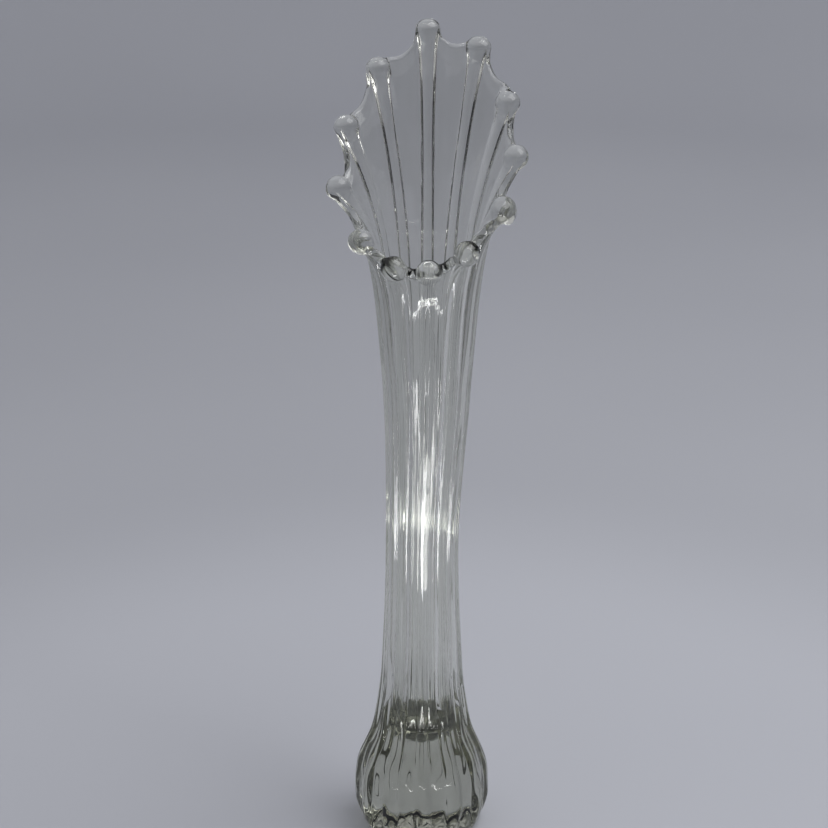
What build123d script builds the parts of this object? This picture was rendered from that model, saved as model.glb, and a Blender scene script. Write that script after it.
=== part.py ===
from build123d import *
import math
import os

# A swung glass bud vase. Millimetres, +Z up, foot on Z = 0, back of the mouth towards +Y.
# The vase is one piece of glass, written here as the zones a glassmaker names:
# solid foot, round bulb, ribbed column, flared mouth and the rib that ends in each rim finger.

# Driving dimensions
RIBS = 12
FOOT_TOP = 6.0
FOOT_R = 23.0
FOOT_TOP_R = 25.9
BULB_TOP = 34.0
WELL_FLOOR = 40.0
WELL_TOP = 62.0
COLUMN_TOP = 206.0
RIB_RISE = 1.3
WALL = 3.4

# Crest radius of the ribs at a few heights
BULB_OUT = [(FOOT_TOP, 27.2), (12.0, 28.8), (19.0, 29.3), (26.0, 28.8), (BULB_TOP, 27.0)]
COLUMN_OUT = [
    (BULB_TOP, 27.0),
    (46.0, 22.0),
    (WELL_TOP, 18.9),
    (92.0, 16.7),
    (134.0, 15.5),
    (171.0, 16.6),
    (COLUMN_TOP, 18.6),
]
LOBE_HALF = [4.0, 5.4, 6.0, 5.4, 4.0]
RIB_HALF = [2.9, 2.4, 2.1, 2.0, 1.9, 2.0, 2.2]

# Mouth: its sections tilt and grow from the column's top (t = 0) to the slanted rim (t = 1)
MOUTH_STEPS = [0.0, 0.25, 0.5, 0.7, 0.86, 1.0]
RIM_AXIS_Z = 294.5
RIM_SLOPE = 1.15
SLOPE_HEADING = math.radians(10.0)
RIM_SHIFT = 7.0
RIM_R = 35.5
LEAN_COLUMN = 2.0
LEAN_MOUTH = 0.4
KNOB_R = 5.2
NOTCH_DEPTH = 4.0
# How far each finger stands past the rim's plane, from the back finger towards -X
FINGER_REACH = [2.0, -1.0, 0.0, 2.0, -0.5, -2.0, -2.0, 1.0, 4.0, 0.5, -3.5, -0.5]


def lean(z):
    """Sideways shift of the column's axis: none low down, easing in above the neck."""
    u = min(max((z - 125.0) / 80.0, 0.0), 1.0)
    return LEAN_COLUMN * u * u * (3.0 - 2.0 * u)


def around(index):
    """Azimuth of a rib, counted from the back of the mouth towards -X."""
    return 2.0 * math.pi * index / RIBS


def mouth_radius(t):
    """Radius of the mouth's rib crests, seen from above."""
    return 18.6 + 5.0 * t + (RIM_R - 23.6) * t**4


def mouth_point(t, azimuth, radius):
    """Point at this azimuth on section t of the mouth: a circle seen from above, shifted back."""
    shift = RIM_SHIFT * t**3
    reach = shift * math.cos(azimuth) + math.sqrt(radius**2 - (shift * math.sin(azimuth)) ** 2)
    x = LEAN_COLUMN + LEAN_MOUTH * t - reach * math.sin(azimuth)
    y = reach * math.cos(azimuth)
    slope = RIM_SLOPE * t
    rise = slope * (math.sin(SLOPE_HEADING) * x + math.cos(SLOPE_HEADING) * y)
    return Vector(x, y, COLUMN_TOP + (RIM_AXIS_Z - COLUMN_TOP) * t + rise)


def mouth_section(t, radius):
    """Ellipse that looks like a circle of this radius from above, on section t."""
    tilt = math.atan(RIM_SLOPE * t)
    across = (math.sin(SLOPE_HEADING), math.cos(SLOPE_HEADING))
    upward = Vector(across[0] * math.cos(tilt), across[1] * math.cos(tilt), math.sin(tilt))
    normal = Vector(-across[0] * math.sin(tilt), -across[1] * math.sin(tilt), math.cos(tilt))
    centre = (mouth_point(t, 0.0, radius) + mouth_point(t, math.pi, radius)) * 0.5
    with BuildSketch(Plane(centre, x_dir=upward, z_dir=normal)) as section:
        Ellipse(x_radius=radius / math.cos(tilt), y_radius=radius)
    return section.sketch


def disc(centre, radius, azimuth=0.0, normal=(0, 0, 1)):
    """Round section at a point, its seam turned to the same side all along a rib."""
    seam = (math.cos(azimuth), math.sin(azimuth), 0)
    with BuildSketch(Plane(centre, x_dir=seam, z_dir=normal)) as section:
        Circle(radius)
    return section.sketch


def upright_rib(index, crests, halves):
    """Round rib that follows the crest radii, on level sections."""
    azimuth = around(index)
    sections = []
    for (z, crest), half in zip(crests, halves):
        reach = crest - half
        x = lean(z) - reach * math.sin(azimuth)
        sections.append(disc((x, reach * math.cos(azimuth), z), half, azimuth))
    return sections


# Foot: the solid pad the vase stands on
with BuildPart() as foot:
    with BuildSketch(Plane.XZ):
        with BuildLine():
            Line((0, 0), (FOOT_R - 1.0, 0))
            Spline(
                (FOOT_R - 1.0, 0),
                (FOOT_R + 0.5, 0.8),
                (FOOT_TOP_R, FOOT_TOP),
                tangents=((1, 0.1), (0.4, 1)),
            )
            Line((FOOT_TOP_R, FOOT_TOP), (0, FOOT_TOP))
            Line((0, FOOT_TOP), (0, 0))
        make_face()
    revolve(axis=Axis.Z)

# Bulb: the solid lobed body under the bore
with BuildPart() as bulb:
    with BuildSketch(Plane.XZ):
        with BuildLine():
            Line((0, BULB_TOP), (0, FOOT_TOP))
            Line((0, FOOT_TOP), (FOOT_TOP_R, FOOT_TOP))
            Spline(*[(r - RIB_RISE, z) for z, r in BULB_OUT])
            Line((BULB_OUT[-1][1] - RIB_RISE, BULB_TOP), (0, BULB_TOP))
        make_face()
    revolve(axis=Axis.Z)
    for i in range(RIBS):
        loft(sections=upright_rib(i, BULB_OUT, LOBE_HALF))

# Column: the stretched shaft, round bore inside and ribs outside
with BuildPart() as column:
    loft(sections=[disc((lean(z), 0, z), r - RIB_RISE) for z, r in COLUMN_OUT])
    for i in range(RIBS):
        loft(sections=upright_rib(i, COLUMN_OUT, RIB_HALF))
    bored = [(z, r - RIB_RISE - WALL) for z, r in COLUMN_OUT if z >= WELL_TOP]
    loft(sections=[disc((lean(z), 0, z), r) for z, r in bored], mode=Mode.SUBTRACT)
    with BuildSketch(Plane.XZ):
        with BuildLine():
            Line((0, WELL_FLOOR), (0, WELL_TOP))
            Line((0, WELL_TOP), (bored[0][1], WELL_TOP))
            Spline((bored[0][1], WELL_TOP), (0, WELL_FLOOR), tangents=((0, -1), (-1, 0)))
        make_face()
    revolve(axis=Axis.Z, mode=Mode.SUBTRACT)


def finger_half(t):
    """Half width of a finger's rod, which swells towards the knob."""
    return 2.2 + 0.6 * t + 2.1 * t**7


def finger_axis(t, azimuth):
    """Point on a finger's axis, which rides out to the middle of the wall at the rim."""
    return mouth_point(t, azimuth, mouth_radius(t) - finger_half(t) * (1.0 - t**4))


def finger_end(index):
    """Value of t at the knob's centre, which stands a little past the rim's plane or short of it."""
    azimuth = around(index)
    pace = (finger_axis(1.0, azimuth) - finger_axis(0.99, azimuth)).length / 0.01
    return 1.0 + FINGER_REACH[index] / pace


def finger_sections(index):
    """Round sections up the mouth along one rib, square to its path above the first."""
    azimuth = around(index)
    sections = []
    for step in MOUTH_STEPS:
        t = step * finger_end(index)
        here = finger_axis(t, azimuth)
        along = finger_axis(t + 0.01, azimuth) - here if t else (0, 0, 1)
        sections.append(disc(here, finger_half(step), azimuth, along))
    return sections


def finger(index):
    """One rim finger: its rib up the mouth and the round knob on the rim."""
    azimuth = around(index)
    end = finger_end(index)
    tip = finger_axis(end, azimuth)
    seam = (math.cos(azimuth), math.sin(azimuth), 0)
    with BuildPart() as made:
        loft(sections=finger_sections(index))
        with Locations(Plane(tip, x_dir=seam, z_dir=tip - finger_axis(end - 0.01, azimuth))):
            Sphere(KNOB_R)
    return made.part


fingers = [finger(i) for i in range(RIBS)]

# Mouth: the flared wall between the fingers, scalloped along the slanted rim
with BuildPart() as mouth:
    loft(sections=[mouth_section(t, mouth_radius(t) - RIB_RISE + 1.6 * t**4) for t in MOUTH_STEPS])
    loft(
        sections=[
            mouth_section(t, mouth_radius(t) - RIB_RISE - WALL + 2.0 * t**4)
            for t in MOUTH_STEPS[:-1] + [1.0, 1.06]
        ],
        mode=Mode.SUBTRACT,
    )
    for i in range(RIBS):
        middle = around(i + 0.5)
        knobs = [mouth_point(1.0, around(i + side), RIM_R) for side in (0, 1)]
        half_gap = (knobs[1] - knobs[0]).length / 2.0 - 0.8 * KNOB_R
        notch_r = (half_gap**2 + NOTCH_DEPTH**2) / (2.0 * NOTCH_DEPTH)
        outward = mouth_point(1.0, middle, RIM_R + 1.0) - mouth_point(1.0, middle, RIM_R)
        upward = outward.cross(knobs[1] - knobs[0]).normalized()
        centre = mouth_point(1.0, middle, RIM_R) - upward * (NOTCH_DEPTH - notch_r)
        with Locations(Plane(centre, z_dir=outward)):
            Cylinder(notch_r, 20.0, mode=Mode.SUBTRACT)
    for rod in fingers:
        add(rod, mode=Mode.SUBTRACT)

os.makedirs("parts", exist_ok=True)
for name, made in (("foot", foot), ("bulb", bulb), ("column", column), ("mouth", mouth)):
    made.part.label = name
    export_step(made.part, f"parts/{name}.step")
for i, rod in enumerate(fingers):
    rod.label = f"finger_{i + 1:02d}"
    export_step(rod, f"parts/{rod.label}.step")
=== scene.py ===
import math

import bpy
import numpy as np
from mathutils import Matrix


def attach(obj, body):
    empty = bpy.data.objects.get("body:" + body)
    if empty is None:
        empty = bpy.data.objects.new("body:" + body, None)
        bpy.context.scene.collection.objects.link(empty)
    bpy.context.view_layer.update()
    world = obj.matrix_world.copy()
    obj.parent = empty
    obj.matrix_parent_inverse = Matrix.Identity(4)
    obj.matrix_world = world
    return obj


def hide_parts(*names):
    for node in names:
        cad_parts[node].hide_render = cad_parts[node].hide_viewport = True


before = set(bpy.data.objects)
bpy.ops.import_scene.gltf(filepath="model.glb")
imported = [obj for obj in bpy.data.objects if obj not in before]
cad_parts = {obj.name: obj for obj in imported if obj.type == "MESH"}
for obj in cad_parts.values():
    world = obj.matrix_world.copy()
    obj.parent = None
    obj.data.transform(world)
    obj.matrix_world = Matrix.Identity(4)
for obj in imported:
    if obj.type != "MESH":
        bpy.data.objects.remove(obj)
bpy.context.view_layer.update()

# Lengths in the vase's own formulas are millimetres; the scene is in metres.
MM = 0.001

# ---------------------------------------------------------------- camera

CAMERA_DISTANCE = 1.1
CAMERA_ELEVATION = math.radians(20.0)
CAMERA_AIM = (-0.0034, 0.0, 0.1913)
SENSOR = 36.0
LENS = 113.9


def add_camera():
    """Camera on the -Y side, a little above the vase and aimed slightly beside it."""
    data = bpy.data.cameras.new("camera")
    data.sensor_width = SENSOR
    data.lens = LENS
    data.clip_end = 20.0
    camera = bpy.data.objects.new("camera", data)
    bpy.context.scene.collection.objects.link(camera)
    camera.location = (
        CAMERA_AIM[0],
        CAMERA_AIM[1] - CAMERA_DISTANCE * math.cos(CAMERA_ELEVATION),
        CAMERA_AIM[2] + CAMERA_DISTANCE * math.sin(CAMERA_ELEVATION),
    )
    camera.rotation_euler = (math.pi / 2.0 - CAMERA_ELEVATION, 0.0, 0.0)
    bpy.context.scene.camera = camera


# ---------------------------------------------------------------- vase shape

RIBS = 12
COLUMNS_PER_RIB = 32
COLUMN_TOP = 206.0
RIM_AXIS_Z = 294.5
RIM_SLOPE = 1.15
SLOPE_HEADING = math.radians(10.0)
RIM_SHIFT = 7.0
RIM_R = 35.5
LEAN_COLUMN = 2.0
LEAN_MOUTH = 0.4
KNOB_R = 5.2
WEB_DIP = 3.3
# How far each finger stands past the rim's plane, from the back finger towards -X
FINGER_REACH = (2.0, -1.0, 0.0, 2.0, -0.5, -2.0, -2.0, 1.0, 4.0, 0.5, -3.5, -0.5)

# Height, crest radius, rib height and rib half width, from the foot to the column's top
OUTSIDE = np.array(
    [
        (0.9, 24.3, 0.0, 4.0),
        (3.0, 26.0, 0.3, 4.0),
        (6.0, 27.5, 0.9, 4.4),
        (12.0, 29.0, 1.4, 5.4),
        (19.0, 29.3, 1.6, 6.0),
        (26.0, 28.8, 1.5, 5.4),
        (34.0, 27.0, 1.6, 4.0),
        (46.0, 22.0, 1.9, 2.8),
        (62.0, 18.9, 1.9, 2.4),
        (92.0, 16.7, 1.9, 2.2),
        (134.0, 15.5, 1.9, 2.1),
        (171.0, 16.6, 1.9, 2.2),
        (COLUMN_TOP, 18.6, 1.9, 2.3),
    ]
)
BORE = np.array(
    [
        (62.0, 14.2),
        (92.0, 12.0),
        (134.0, 10.8),
        (171.0, 11.9),
        (COLUMN_TOP, 13.9),
    ]
)
# Depth of the wall's middle under the rib crests
WALL_MIDDLE = 3.0
WELL_FLOOR = 40.0
WELL_TOP = BORE[0][0]
WELL_R = BORE[0][1]
# Underside: a shallow hollow inside a flat ring
HOLLOW_DEPTH = 1.3
HOLLOW_R = 20.0
DIMPLE = 0.3
# Corner of the foot: the radius and height over which it rounds up from the table
CORNER_R = 22.4
CORNER_OUT = 1.6
CORNER_UP = 0.9
# Mouth wall: web faces from the middle, and the bead that thickens the webs at the rim
WEB_OUT = 1.1
WEB_IN = 1.7
BEAD = 0.8
BEAD_REACH = 1.8
# Slope beside a rod or knob, where its outline drops away into the web
STEEP = 6.0
KNOB_SHOULDER = 0.92
WEB_START = 0.10


def smooth_curve(table, column, at):
    """Smooth interpolation of one column of a table whose first column is height."""
    x = table[:, 0]
    y = table[:, column]
    step = np.diff(x)
    rise = np.diff(y) / step
    slope = np.empty_like(y)
    slope[0] = rise[0]
    slope[-1] = rise[-1]
    slope[1:-1] = (rise[:-1] * step[1:] + rise[1:] * step[:-1]) / (step[:-1] + step[1:])
    at = np.clip(at, x[0], x[-1])
    i = np.clip(np.searchsorted(x, at) - 1, 0, len(x) - 2)
    u = (at - x[i]) / step[i]
    return (
        y[i] * (1 + 2 * u) * (1 - u) ** 2
        + slope[i] * step[i] * u * (1 - u) ** 2
        + y[i + 1] * u * u * (3 - 2 * u)
        + slope[i + 1] * step[i] * u * u * (u - 1)
    )


def soft_max(a, b, blend):
    """The larger of two lengths, rounded where they cross."""
    gap = np.clip(blend - np.abs(a - b), 0.0, None)
    return np.maximum(a, b) + gap * gap / (4.0 * blend)


def lean(z):
    """Sideways shift of the column's axis, easing in above the neck."""
    u = np.clip((z - 125.0) / 80.0, 0.0, 1.0)
    return LEAN_COLUMN * u * u * (3.0 - 2.0 * u)


def azimuths():
    """Azimuths round the vase, closer together on the flanks of the ribs."""
    u = np.arange(RIBS * COLUMNS_PER_RIB) / COLUMNS_PER_RIB
    u = u + 0.6 * np.sin(4.0 * math.pi * u) / (4.0 * math.pi)
    return u * 2.0 * math.pi / RIBS


AZIMUTH = azimuths()
SPACING = 2.0 * math.pi / RIBS
FROM_RIB = AZIMUTH - np.round(AZIMUTH / SPACING) * SPACING
SIN = np.sin(AZIMUTH)
COS = np.cos(AZIMUTH)


def mouth_radius(t):
    """Radius of the rib crests on section t of the mouth, seen from above."""
    return 18.6 + 5.0 * t + (RIM_R - 23.6) * t**4


def wall_middle(t, azimuth):
    """Middle of the mouth's wall: section t is a tilted circle shifted back."""
    radius = mouth_radius(t) - WALL_MIDDLE * (1.0 - t**4)
    shift = RIM_SHIFT * t**3
    reach = shift * np.cos(azimuth) + np.sqrt(radius**2 - (shift * np.sin(azimuth)) ** 2)
    x = LEAN_COLUMN + LEAN_MOUTH * t - reach * np.sin(azimuth)
    y = reach * np.cos(azimuth)
    slope = RIM_SLOPE * t
    rise = slope * (math.sin(SLOPE_HEADING) * x + math.cos(SLOPE_HEADING) * y)
    z = COLUMN_TOP + (RIM_AXIS_Z - COLUMN_TOP) * t + rise
    return np.stack([x, y, z], axis=-1)


def wall_frame(t):
    """Per azimuth on section t: wall point, outward normal, upward tangent, pace, skew and width."""
    step = 0.001
    here = wall_middle(t, AZIMUTH)
    along = (wall_middle(t + step, AZIMUTH) - wall_middle(t - step, AZIMUTH)) / (2 * step)
    around = (wall_middle(t, AZIMUTH + step) - wall_middle(t, AZIMUTH - step)) / (2 * step)
    pace = np.linalg.norm(along, axis=1)
    upward = along / pace[:, None]
    skew = np.sum(around * upward, axis=1)
    aside = around - skew[:, None] * upward
    width = np.linalg.norm(aside, axis=1)
    outward = np.cross(aside / width[:, None], upward)
    return here, outward, upward, pace, skew, width


def waves(seed, rounds, drifts, size):
    """Random set of waves round the vase: how many per turn, drift with height, phase, size."""
    draw = np.random.default_rng(seed)
    count = 14
    turns = draw.integers(rounds[0], rounds[1], count)
    drift = draw.uniform(drifts[0], drifts[1], count) * draw.choice([-1.0, 1.0], count)
    phase = draw.uniform(0.0, 2.0 * math.pi, count)
    return turns, drift, phase, size / math.sqrt(count / 2.0)


STREAKS_OUT = waves(3, (16, 52), (0.0, 0.01), 0.05)
STREAKS_IN = waves(5, (10, 40), (0.0, 0.01), 0.07)
MOTTLE = waves(8, (12, 30), (0.2, 0.45), 0.12)


def ripple(chosen, height):
    """Small radial unevenness at one height, per azimuth."""
    turns, drift, phase, size = chosen
    angle = turns[:, None] * AZIMUTH + (drift * height + phase)[:, None]
    return size * np.sum(np.cos(angle), axis=0)


def level_point(z, radius):
    """Points on the level section at height z."""
    x = lean(z) - radius * SIN
    y = radius * COS
    return np.stack(np.broadcast_arrays(x, y, z), axis=-1)


def rod(reach, half, arc):
    """Radius of a round rod's outer face at an arc distance from its axis."""
    inside = np.clip(1.0 - (arc / half) ** 2, 0.0, None)
    drop = np.clip(np.abs(arc) - half, 0.0, None)
    return reach + half * np.sqrt(inside) - STEEP * drop


def outside_ring(z):
    """Outer face at height z: round wall with twelve raised ribs."""
    crest = smooth_curve(OUTSIDE, 1, z)
    rise = smooth_curve(OUTSIDE, 2, z)
    half = smooth_curve(OUTSIDE, 3, z)
    arc = (crest - WALL_MIDDLE) * FROM_RIB
    radius = np.minimum(soft_max(crest - rise, rod(crest - half, half, arc), 0.4), crest)
    low = np.clip((44.0 - z) / 8.0, 0.0, 1.0)
    calm = np.clip((z - 1.0) / 9.0, 0.0, 1.0)
    uneven = (1.0 - low) * ripple(STREAKS_OUT, z) + low * calm * ripple(MOTTLE, z)
    return level_point(z, radius + uneven)


def bore_ring(z):
    """Inner face at height z."""
    return level_point(z, smooth_curve(BORE, 1, z) + ripple(STREAKS_IN, z))


def finger_half(t):
    """Half width of a finger's rod, which swells towards the knob."""
    return 2.3 + 0.4 * t + 1.2 * t**14


def wall_thickness(t, width, gap, fall):
    """How far the two faces stand from the wall's middle on section t, a gap below the rim's edge.

    The fall is how far the section lies below the centre of the nearest knob.
    """
    ball = np.sqrt(np.clip(KNOB_R**2 - fall**2, 0.0, None))
    half = soft_max(finger_half(t), ball, 0.8)
    arc = width * FROM_RIB
    bead = BEAD * np.exp(-((gap / BEAD_REACH) ** 2))
    web_out = WEB_OUT + bead
    web_in = WEB_IN - 0.6 * t**4 + bead
    axis = 0.7 + 0.5 * np.sin(math.pi * t)
    blend = 0.4 + 0.6 * t**6
    calm = 1.0 - 0.8 * t
    outer = soft_max(web_out, rod(axis, half, arc), blend) + calm * ripple(STREAKS_OUT, COLUMN_TOP)
    inner = soft_max(web_in, rod(-axis, half, arc), blend) - calm * ripple(STREAKS_IN, COLUMN_TOP)
    return outer, inner


def mouth_faces(t, end):
    """Points of the outer and the inner face of the mouth on section t, whose rim is at end."""
    here, outward, _, pace, skew, width = wall_frame(t)
    fall = (1.0 - t) * pace + reach_per_column() - skew * FROM_RIB
    outer, inner = wall_thickness(t, width, (end - t) * pace, fall)
    return here + outward * outer[:, None], here - outward * inner[:, None]


def reach_per_column():
    """How far the nearest finger stands past the rim's plane, per azimuth."""
    finger = np.round(AZIMUTH / SPACING).astype(int) % RIBS
    return np.array(FINGER_REACH)[finger]


def rim_top(skew, width):
    """Height of the rim's outline above its plane, along the wall, per azimuth."""
    arc = width * FROM_RIB
    round_top = np.sqrt(np.clip(KNOB_R**2 - arc**2, 0.0, None))
    shoulder = KNOB_SHOULDER * KNOB_R
    edge = KNOB_R * math.sqrt(1.0 - KNOB_SHOULDER**2)
    steep = edge - STEEP * (np.abs(arc) - shoulder)
    round_top = np.where(np.abs(arc) > shoulder, steep, round_top)
    knob = round_top - skew * FROM_RIB + reach_per_column()
    across = np.clip((np.abs(FROM_RIB) - WEB_START) / (SPACING / 2.0 - WEB_START), 0.0, 1.0)
    web = -WEB_DIP * np.sin(across * math.pi / 2.0) ** 1.3
    return soft_max(knob, web, 2.0)


def towards_rim(share, end):
    """Section value per azimuth: even low in the mouth, following the rim's outline near it."""
    return share + (end - 1.0) * np.clip((share - 0.7) / 0.3, 0.0, 1.0) ** 2


def vase_rows():
    """Rings of points from the middle of the underside, up the outside and down the bore."""
    rows = []
    for radius in np.linspace(1.5, HOLLOW_R - 1.0, 16):
        hollow = HOLLOW_DEPTH * (1.0 - (radius / HOLLOW_R) ** 4)
        dimples = DIMPLE * np.sin(radius * 1.1) * np.cos(RIBS * AZIMUTH + radius * 0.35)
        fade = min(radius / 6.0, 1.0) * (1.0 - (radius / HOLLOW_R) ** 8)
        rows.append(level_point(hollow + dimples * fade, radius))
    rows.append(level_point(0.0, HOLLOW_R))
    for turn in (0.0, 0.35, 0.7):
        angle = turn * math.pi / 2.0
        z = CORNER_UP - CORNER_UP * math.cos(angle)
        rows.append(level_point(z, CORNER_R + CORNER_OUT * math.sin(angle)))
    low = np.linspace(1.2, 8.0, 7)
    bulb = np.linspace(9.5, 46.0, 27)
    column = np.linspace(49.0, COLUMN_TOP, 38)
    for z in np.concatenate([low, bulb, column]):
        rows.append(outside_ring(z))

    _, _, _, pace, skew, width = wall_frame(1.0)
    outer, inner = wall_thickness(1.0, width, 0.0, 0.0 * width)
    half = np.minimum((outer + inner) / 2.0, KNOB_R)
    end = 1.0 + (rim_top(skew, width) - half) / pace
    for u in np.linspace(0.0, 1.0, 60)[1:]:
        t = towards_rim(u, end)
        rows.append(mouth_faces(t, end)[0])
    outer_edge, inner_edge = mouth_faces(end, end)
    upward = wall_frame(end)[2]
    middle = (outer_edge + inner_edge) / 2.0
    arm = (outer_edge - inner_edge) / 2.0
    for turn in np.linspace(0.0, math.pi, 12)[1:-1]:
        rows.append(middle + arm * math.cos(turn) + upward * half[:, None] * math.sin(turn))
    for u in np.linspace(1.0, 0.0, 50):
        t = towards_rim(u, end)
        rows.append(mouth_faces(t, end)[1])
    for z in np.linspace(COLUMN_TOP, WELL_TOP, 30)[1:]:
        rows.append(bore_ring(z))
    for turn in np.linspace(0.0, math.pi / 2.0, 15)[1:-1]:
        z = WELL_TOP - (WELL_TOP - WELL_FLOOR) * math.sin(turn)
        rows.append(level_point(z, (WELL_R + ripple(STREAKS_IN, z)) * math.cos(turn)))
    return rows


def build_vase():
    """One closed mesh for the whole piece of glass."""
    rows = vase_rows()
    count = len(AZIMUTH)
    points = np.concatenate([[(0.0, 0.0, HOLLOW_DEPTH)]] + rows + [[(0.0, 0.0, WELL_FLOOR)]]) * MM
    faces = []
    for i in range(count):
        faces.append((0, 1 + (i + 1) % count, 1 + i))
    for row in range(len(rows) - 1):
        low = 1 + row * count
        for i in range(count):
            j = (i + 1) % count
            faces.append((low + i, low + j, low + count + j, low + count + i))
    last = len(points) - 1
    low = last - count
    for i in range(count):
        faces.append((low + i, low + (i + 1) % count, last))
    mesh = bpy.data.meshes.new("vase")
    mesh.from_pydata([tuple(p) for p in points], [], faces)
    mesh.update()
    mesh.shade_smooth()
    vase = bpy.data.objects.new("vase", mesh)
    bpy.context.scene.collection.objects.link(vase)
    return vase


# ---------------------------------------------------------------- materials


def new_material(name):
    material = bpy.data.materials.new(name)
    material.use_nodes = True
    return material, material.node_tree.nodes, material.node_tree.links


def glass_material():
    """Clear soda glass, very slightly green, with faint drawn-out streaks in its tint."""
    material, nodes, links = new_material("clear_glass")
    shader = nodes["Principled BSDF"]
    shader.inputs["Transmission Weight"].default_value = 1.0
    shader.inputs["Roughness"].default_value = 0.0
    shader.inputs["IOR"].default_value = 1.5
    place = nodes.new("ShaderNodeTexCoord")
    stretch = nodes.new("ShaderNodeMapping")
    stretch.inputs["Scale"].default_value = (220.0, 220.0, 14.0)
    streaks = nodes.new("ShaderNodeTexNoise")
    streaks.inputs["Scale"].default_value = 1.0
    streaks.inputs["Detail"].default_value = 2.0
    tint = nodes.new("ShaderNodeValToRGB")
    tint.color_ramp.elements[0].position = 0.3
    tint.color_ramp.elements[0].color = (0.895, 0.90, 0.87, 1.0)
    tint.color_ramp.elements[1].position = 0.7
    tint.color_ramp.elements[1].color = (0.945, 0.95, 0.925, 1.0)
    links.new(place.outputs["Object"], stretch.inputs["Vector"])
    links.new(stretch.outputs["Vector"], streaks.inputs["Vector"])
    links.new(streaks.outputs["Fac"], tint.inputs["Fac"])
    links.new(tint.outputs["Color"], shader.inputs["Base Color"])
    depth = nodes.new("ShaderNodeVolumeAbsorption")
    depth.inputs["Color"].default_value = (0.60, 0.61, 0.53, 1.0)
    depth.inputs["Density"].default_value = 25.0
    links.new(depth.outputs["Volume"], nodes["Material Output"].inputs["Volume"])
    return material


def paper_material():
    """Matt pale grey paper of the sweep, slightly lavender, with a soft unevenness and a painted
    pool of light: brightest round the vase, darker further away.
    """
    material, nodes, links = new_material("paper")
    shader = nodes["Principled BSDF"]
    shader.inputs["Roughness"].default_value = 0.9
    place = nodes.new("ShaderNodeTexCoord")
    cloud = nodes.new("ShaderNodeTexNoise")
    cloud.inputs["Scale"].default_value = 2.5
    cloud.inputs["Detail"].default_value = 1.0
    tone = nodes.new("ShaderNodeValToRGB")
    tone.color_ramp.elements[0].position = 0.3
    tone.color_ramp.elements[0].color = (0.575, 0.59, 0.645, 1.0)
    tone.color_ramp.elements[1].position = 0.7
    tone.color_ramp.elements[1].color = (0.605, 0.62, 0.675, 1.0)
    links.new(place.outputs["Object"], cloud.inputs["Vector"])
    links.new(cloud.outputs["Fac"], tone.inputs["Fac"])
    # Painted light falloff: full brightness within 0.22 m of the middle, easing to 86% beyond 0.42
    # m, on floor and wall alike.
    away = nodes.new("ShaderNodeVectorMath")
    away.operation = "LENGTH"
    links.new(place.outputs["Object"], away.inputs[0])
    painted_light_pool = nodes.new("ShaderNodeMapRange")
    painted_light_pool.interpolation_type = "SMOOTHSTEP"
    painted_light_pool.inputs["From Min"].default_value = 0.22
    painted_light_pool.inputs["From Max"].default_value = 0.42
    painted_light_pool.inputs["To Min"].default_value = 1.0
    painted_light_pool.inputs["To Max"].default_value = 0.86
    links.new(away.outputs["Value"], painted_light_pool.inputs["Value"])
    shade = nodes.new("ShaderNodeVectorMath")
    shade.operation = "SCALE"
    links.new(tone.outputs["Color"], shade.inputs[0])
    links.new(painted_light_pool.outputs["Result"], shade.inputs["Scale"])
    links.new(shade.outputs["Vector"], shader.inputs["Base Color"])
    return material


def painted_shade_material():
    """Near-black material, slightly uneven at random: painted shade standing for the unlit room, on
    the band above the paper wall and on the card in front.
    """
    material, nodes, links = new_material("painted_dark_room")
    shader = nodes["Principled BSDF"]
    shader.inputs["Roughness"].default_value = 1.0
    place = nodes.new("ShaderNodeTexCoord")
    dark_unevenness = nodes.new("ShaderNodeTexNoise")
    dark_unevenness.inputs["Scale"].default_value = 6.0
    tone = nodes.new("ShaderNodeValToRGB")
    tone.color_ramp.elements[0].color = (0.03, 0.03, 0.035, 1.0)
    tone.color_ramp.elements[1].color = (0.05, 0.05, 0.055, 1.0)
    links.new(place.outputs["Object"], dark_unevenness.inputs["Vector"])
    links.new(dark_unevenness.outputs["Fac"], tone.inputs["Fac"])
    links.new(tone.outputs["Color"], shader.inputs["Base Color"])
    return material


# ---------------------------------------------------------------- stage

ROOM_R = 1.75
BEND_R = 0.45
WALL_TOP = 0.64
BAND_TOP = 1.15
# Near-black card in front of the vase, painted shade standing for the unlit room: place along Y,
# half width, bottom and top
SHADE_CARD_Y = -0.95
SHADE_CARD_HALF = 0.45
SHADE_CARD_LOW = 0.10
SHADE_CARD_TOP = 0.95
# Strips of light lying on the floor, facing up: name, place along Y, size and power
STRIP_HEIGHT = 0.005
STRIPS = (
    ("strip_far", -0.342, (0.50, 0.020), 0.28),
    ("strip_near", -0.314, (0.30, 0.024), 0.35),
)


def ring_mesh(name, profile, material):
    """Round surface about the vase's axis from a list of radius and height."""
    count = 96
    points = []
    for radius, z in profile:
        for i in range(count):
            angle = 2.0 * math.pi * i / count
            points.append((radius * math.cos(angle), radius * math.sin(angle), z))
    faces = []
    for row in range(len(profile) - 1):
        low = row * count
        for i in range(count):
            j = (i + 1) % count
            faces.append((low + i, low + count + i, low + count + j, low + j))
    if profile[0][1] == profile[1][1]:
        faces.append(tuple(range(count)))
    mesh = bpy.data.meshes.new(name)
    mesh.from_pydata(points, [], faces)
    mesh.update()
    mesh.shade_smooth()
    ring = bpy.data.objects.new(name, mesh)
    bpy.context.scene.collection.objects.link(ring)
    ring.data.materials.append(material)
    return ring


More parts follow.
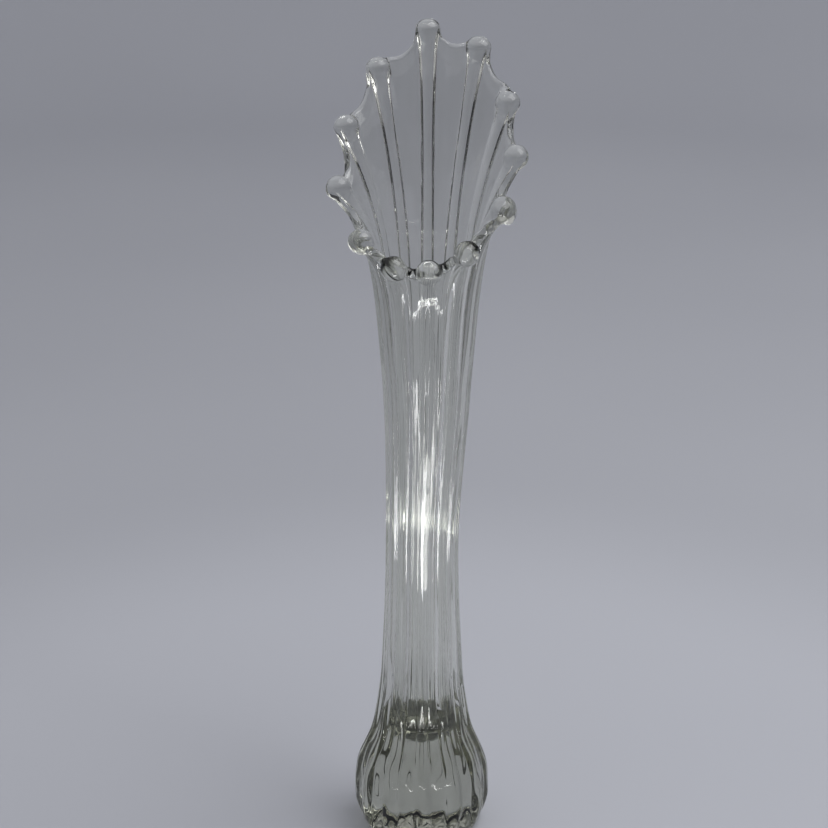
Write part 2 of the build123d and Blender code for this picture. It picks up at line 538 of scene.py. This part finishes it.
def build_room():
    """Paper floor bending up into a low round wall, with a near-black band above it and a near-black
    card in front, both painted shade standing for the unlit room.
    """
    profile = [(0.4, 0.0), (0.8, 0.0)]
    for i in range(17):
        angle = i / 16.0 * math.pi / 2.0
        radius = ROOM_R - BEND_R + BEND_R * math.sin(angle)
        profile.append((radius, BEND_R - BEND_R * math.cos(angle)))
    profile.append((ROOM_R, WALL_TOP))
    ring_mesh("paper_floor", profile, paper_material())
    painted_shade = painted_shade_material()
    # Painted shade: a near-black band round the room above the paper wall, standing for the unlit
    # room.
    ring_mesh("dark_room_band", [(ROOM_R, WALL_TOP), (ROOM_R, BAND_TOP)], painted_shade)
    # Painted shade: a near-black card in front, hidden from the camera, standing for the unlit room
    # beyond the open front.
    shade_card = bpy.data.meshes.new("shade_card")
    corners = [(-SHADE_CARD_HALF, SHADE_CARD_Y, SHADE_CARD_LOW), (SHADE_CARD_HALF, SHADE_CARD_Y, SHADE_CARD_LOW)]
    corners += [(SHADE_CARD_HALF, SHADE_CARD_Y, SHADE_CARD_TOP), (-SHADE_CARD_HALF, SHADE_CARD_Y, SHADE_CARD_TOP)]
    shade_card.from_pydata(corners, [], [(0, 1, 2, 3)])
    shade_card.materials.append(painted_shade)
    card = bpy.data.objects.new("shade_card", shade_card)
    bpy.context.scene.collection.objects.link(card)
    card.visible_camera = False


def area_light(name, place, aim, size, power):
    """Rectangular light at a place, facing a point."""
    data = bpy.data.lights.new(name, "AREA")
    data.shape = "RECTANGLE"
    data.size = size[0]
    data.size_y = size[1]
    data.energy = power
    light = bpy.data.objects.new(name, data)
    bpy.context.scene.collection.objects.link(light)
    light.location = place
    back = [p - a for p, a in zip(place, aim)]
    flat = math.hypot(back[0], back[1])
    light.rotation_euler = (math.atan2(flat, back[2]), 0.0, math.atan2(back[0], -back[1]))
    light.visible_camera = False


def light_scene():
    """Soft studio light: an even sky, a panel overhead and two strips in front of the vase."""
    world = bpy.data.worlds.new("studio")
    world.use_nodes = True
    background = world.node_tree.nodes["Background"]
    background.inputs["Color"].default_value = (0.50, 0.50, 0.515, 1.0)
    background.inputs["Strength"].default_value = 1.0
    bpy.context.scene.world = world
    area_light("top_panel", (0.75, -0.1, 1.5), (0.2, 0.1, 0.0), (1.2, 1.2), 12.0)
    for name, y, size, power in STRIPS:
        area_light(name, (0.0, y, STRIP_HEIGHT), (0.0, y, 1.0), size, power)


# ---------------------------------------------------------------- build

add_camera()
vase = build_vase()
vase.data.materials.append(glass_material())
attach(vase, "root")
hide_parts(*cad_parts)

build_room()
light_scene()

bpy.context.scene.view_settings.view_transform = "Standard"
cycles = bpy.context.scene.cycles
cycles.max_bounces = 24
cycles.transmission_bounces = 24
cycles.glossy_bounces = 8
